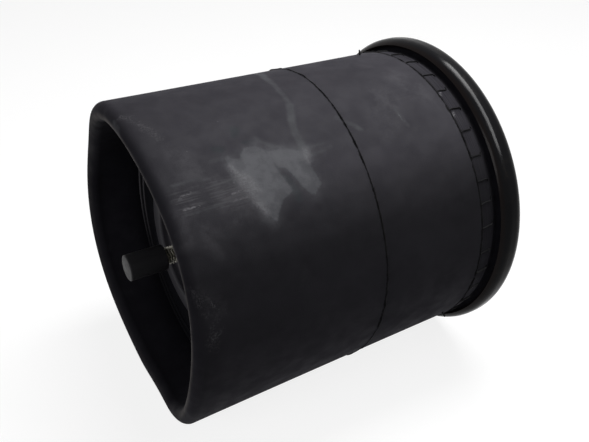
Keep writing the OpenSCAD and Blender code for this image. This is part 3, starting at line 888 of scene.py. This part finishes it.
def face_rubber():
    """Near-black rubber as painted shade of the recess, with painted highlights in two lines along
    each sealing ridge, stronger higher up.
    """
    material, tree, surface = shader("face_rubber", (0.003, 0.003, 0.004), 0.5, specular=0.012)
    place = add_node(tree, "ShaderNodeTexCoord").outputs["Object"]
    radius = add_node(tree, "ShaderNodeVectorMath", [(0, scaled(tree, place, (0, 1, 1)))],
                      operation="LENGTH").outputs["Value"]
    # Painted shade: the face is far darker than plain rubber, for the shade in the recess.
    color = blend_color(tree, noise(tree, place, 60, 4), (0.0022, 0.0022, 0.0030),
                        (0.0040, 0.0040, 0.0048))
    z = add_node(tree, "ShaderNodeSeparateXYZ", [("Vector", place)]).outputs["Z"]
    # Painted highlight: the ridge lines grow lighter towards the top, as if lit from above.
    painted_top_highlight = remap(tree, z, -0.050, 0.010, 0.03, 0.9)
    for inset in ridge_insets:
        for shift in (-highlight_shift, highlight_shift):
            off = combine(tree, "ABSOLUTE", combine(
                tree, "SUBTRACT", radius, (closure_r - inset + shift) * MM), 0.0)
            ridge_highlight = combine(tree, "MULTIPLY", remap(tree, off, 0.0001, 0.0006, 1.0, 0.0), painted_top_highlight)
            color = blend_color(tree, ridge_highlight, color, (0.055, 0.053, 0.058))
    tree.links.new(color, surface.inputs["Base Color"])
    tree.links.new(remap(tree, noise(tree, place, 90, 3), 0.3, 0.7, 0.42, 0.6),
                   surface.inputs["Roughness"])
    bump(tree, surface, noise(tree, place, 900, 3), 0.00006, 0.4)
    return material


rubber = [(closure_face, face_in_r)]
for inset in ridge_insets:
    rubber += arc(closure_face, closure_r - inset, ridge_h, 180, 0, 9)
rubber += arc(closure_face - edge_r, closure_r - edge_r, edge_r, 90, 0, 5)
rubber += [(steel_back, closure_r), (steel_back, closure_r - face_t + bond_gap),
           (steel_front + 0.02, closure_r - face_t + bond_gap), (steel_front + 0.02, face_in_r)]
face = turned("closure_face_moulding", rubber, 240, closed=True)
face.data.materials.append(face_rubber())
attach(face, "closure")
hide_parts("closure_rubber")


# Lower stud and cap: a 1/2-13 stud, yellow zinc plated, welded in the closure. A soft plastic
# cap is pushed over its end to save the thread in transport.

lower_pitch, lower_chamfer = inch / 13, 1.4
lower_head_r, lower_head_t = 15, 4.5
lower_r = lower_stud_d / 2
seat = closure_face
under_seat = seat - closure_t
head_end = under_seat - lower_head_t
stud_end = seat + lower_stud_length
stud_rows = np.arange(thread_start, lower_stud_length - lower_chamfer, lower_pitch / 8)
stud_line = [(head_end, 0), (head_end, lower_head_r - 0.5), (head_end + 0.5, lower_head_r),
             (under_seat, lower_head_r), (under_seat, lower_r + neck_rim),
             (seat, lower_r + neck_rim), (seat, lower_r)]
stud_line += [(seat + s, lower_r) for s in stud_rows]
stud_line += [(stud_end - lower_chamfer, lower_r), (stud_end, lower_r - lower_chamfer),
              (stud_end, 0)]
lower = turned("lower_stud_threaded", stud_line, 72,
               thread=(seat + thread_start, stud_end, lower_pitch, thread_share * lower_pitch))
lower.data.materials.append(
    plated_steel("yellow_zinc_plate", (0.21, 0.20, 0.17), (0.115, 0.110, 0.095)))
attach(lower, "closure")
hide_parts("lower_stud")

cap_r, cap_length, cap_end_t = 9.3, 27.0, 3.5
cap_end_gap, cap_fit = 0.3, 0.05
cap_end = stud_end + cap_end_gap + cap_end_t
cap_bore = lower_r + cap_fit


def cap_plastic():
    """Soft black plastic, satin, with faint flow marks, and a little darker on its end."""
    material, tree, surface = shader("cap_plastic", (0.024, 0.024, 0.026), 0.36, specular=0.03)
    place = add_node(tree, "ShaderNodeTexCoord").outputs["Object"]
    flow = noise(tree, scaled(tree, place, (60, 240, 240)), 1, 4)
    side = blend_color(tree, flow, (0.0200, 0.0196, 0.0216), (0.0300, 0.0294, 0.0320))
    x = add_node(tree, "ShaderNodeSeparateXYZ", [("Vector", place)]).outputs["X"]
    on_end = remap(tree, x, -(cap_end - 0.1) * MM, -(cap_end - 0.5) * MM, 0.9, 0.0)
    tree.links.new(blend_color(tree, on_end, side, (0.017, 0.0166, 0.018)),
                   surface.inputs["Base Color"])
    tree.links.new(remap(tree, flow, 0.3, 0.7, 0.30, 0.42), surface.inputs["Roughness"])
    bump(tree, surface, noise(tree, place, 1100, 2), 0.00005, 0.5)
    return material


cap_line = [(cap_end - cap_end_t, 0), (cap_end, 0)]
cap_line += arc(cap_end - 0.9, cap_r - 0.9, 0.9, 90, 0, 7)
cap_line += arc(cap_end - cap_length + 0.4, cap_r - 0.4, 0.4, 0, -90, 5)
cap_line += [(cap_end - cap_length, cap_bore), (cap_end - cap_end_t, cap_bore)]
cap = turned("stud_cap_moulding", cap_line, 96, closed=True)
cap.data.materials.append(cap_plastic())
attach(cap, "cap")
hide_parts("stud_cap")


# Bump stop and post: a rubber stop snapped over a steel mushroom post on the stud's head. It
# takes the load if the spring loses its air, and is shut inside the air chamber.

for node, material in (("bump_stop", dull_rubber("stop_rubber", (0.018, 0.018, 0.019))),
                       ("bump_post", bpy.data.materials["satin_black_paint"])):
    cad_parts[node].data.materials.clear()
    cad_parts[node].data.materials.append(material)


# Studio: a pale floor that shows white where no shadow falls, and soft lamps.

floor_z = cad_bounds[0][2]
floor_half = 6.0
floor_mesh = bpy.data.meshes.new("floor")
floor_mesh.from_pydata([(x, y, floor_z) for x, y in ((-floor_half, -floor_half),
                        (floor_half, -floor_half), (floor_half, floor_half),
                        (-floor_half, floor_half))], [], [(0, 1, 2, 3)])
floor = bpy.data.objects.new("floor", floor_mesh)
bpy.context.scene.collection.objects.link(floor)


def seen_or_mirrored(tree):
    """1 for rays from the camera, off gloss and through glass, and 0 for diffuse light."""
    path = add_node(tree, "ShaderNodeLightPath")
    total = combine(tree, "ADD", path.outputs["Is Camera Ray"], path.outputs["Is Glossy Ray"])
    total = combine(tree, "ADD", total, path.outputs["Is Transmission Ray"])
    return combine(tree, "MINIMUM", total, 1.0)


floor_material, tree, surface = shader("pale_floor", (0.22, 0.22, 0.22), 0.9, specular=0.0)
surface.inputs["Emission Color"].default_value = (1, 1, 1, 1)
glow = combine(tree, "MULTIPLY", seen_or_mirrored(tree), 0.84)
tree.links.new(glow, surface.inputs["Emission Strength"])
floor.data.materials.append(floor_material)

world = bpy.data.worlds.new("studio")
world.use_nodes = True
bpy.context.scene.world = world
background = world.node_tree.nodes["Background"]
background.inputs["Color"].default_value = (1, 1, 1, 1)
strength = remap(world.node_tree, seen_or_mirrored(world.node_tree), 0, 1, 0.05, 1.0)
world.node_tree.links.new(strength, background.inputs["Strength"])


def soft_lamp(name, place, target, width, length, power, on_matte=True):
    """An area lamp at place, in metres, that faces target. Its length lies along Y.

    Without on_matte it only shows in glossy surfaces, as a panel outside the picture does."""
    light = bpy.data.lights.new(name, "AREA")
    light.shape = "RECTANGLE"
    light.size, light.size_y = width, length
    light.energy = power
    made = bpy.data.objects.new(name, light)
    made.location = place
    back = (Vector(place) - Vector(target)).normalized()
    across = Vector((0, 1, 0)).cross(back).normalized()
    made.rotation_euler = Matrix((across, back.cross(across), back)).transposed().to_euler()
    made.visible_diffuse = on_matte
    bpy.context.scene.collection.objects.link(made)


soft_lamp("key", (0.20, 0.10, 1.08), (-0.08, 0, 0), 0.8, 0.5, 12.5)
soft_lamp("strip", (0.34, -0.55, 1.00), (-0.05, 0, 0), 0.10, 0.9, 3.0)
soft_lamp("left", (-1.20, -0.35, 0.28), (-0.20, 0, 0), 0.5, 0.5, 5.0)
soft_lamp("gloss", (0.24, -0.32, 0.98), (-0.02, 0, 0), 0.48, 1.5, 68, on_matte=False)


# Camera: set to the photograph's view of the plate's rim, the mould lines and the sleeve.

camera_target = Vector((-121.2, 0, -3.75)) * MM
camera_azimuth, camera_elevation = math.radians(-31.07), math.radians(31.05)
camera_distance = 619.2 * MM
focal_pixels, width_pixels, sensor_width = 825.07, 589, 36.0
away = Vector((math.sin(camera_azimuth) * math.cos(camera_elevation),
               -math.cos(camera_azimuth) * math.cos(camera_elevation),
               math.sin(camera_elevation)))
camera_data = bpy.data.cameras.new("camera")
camera_data.sensor_width = sensor_width
camera_data.lens = focal_pixels / width_pixels * sensor_width
camera = bpy.data.objects.new("camera", camera_data)
camera.location = camera_target + away * camera_distance
camera.rotation_euler = (-away).to_track_quat("-Z", "Y").to_euler()
bpy.context.scene.collection.objects.link(camera)
bpy.context.scene.camera = camera
bpy.context.scene.view_settings.view_transform = "Standard"
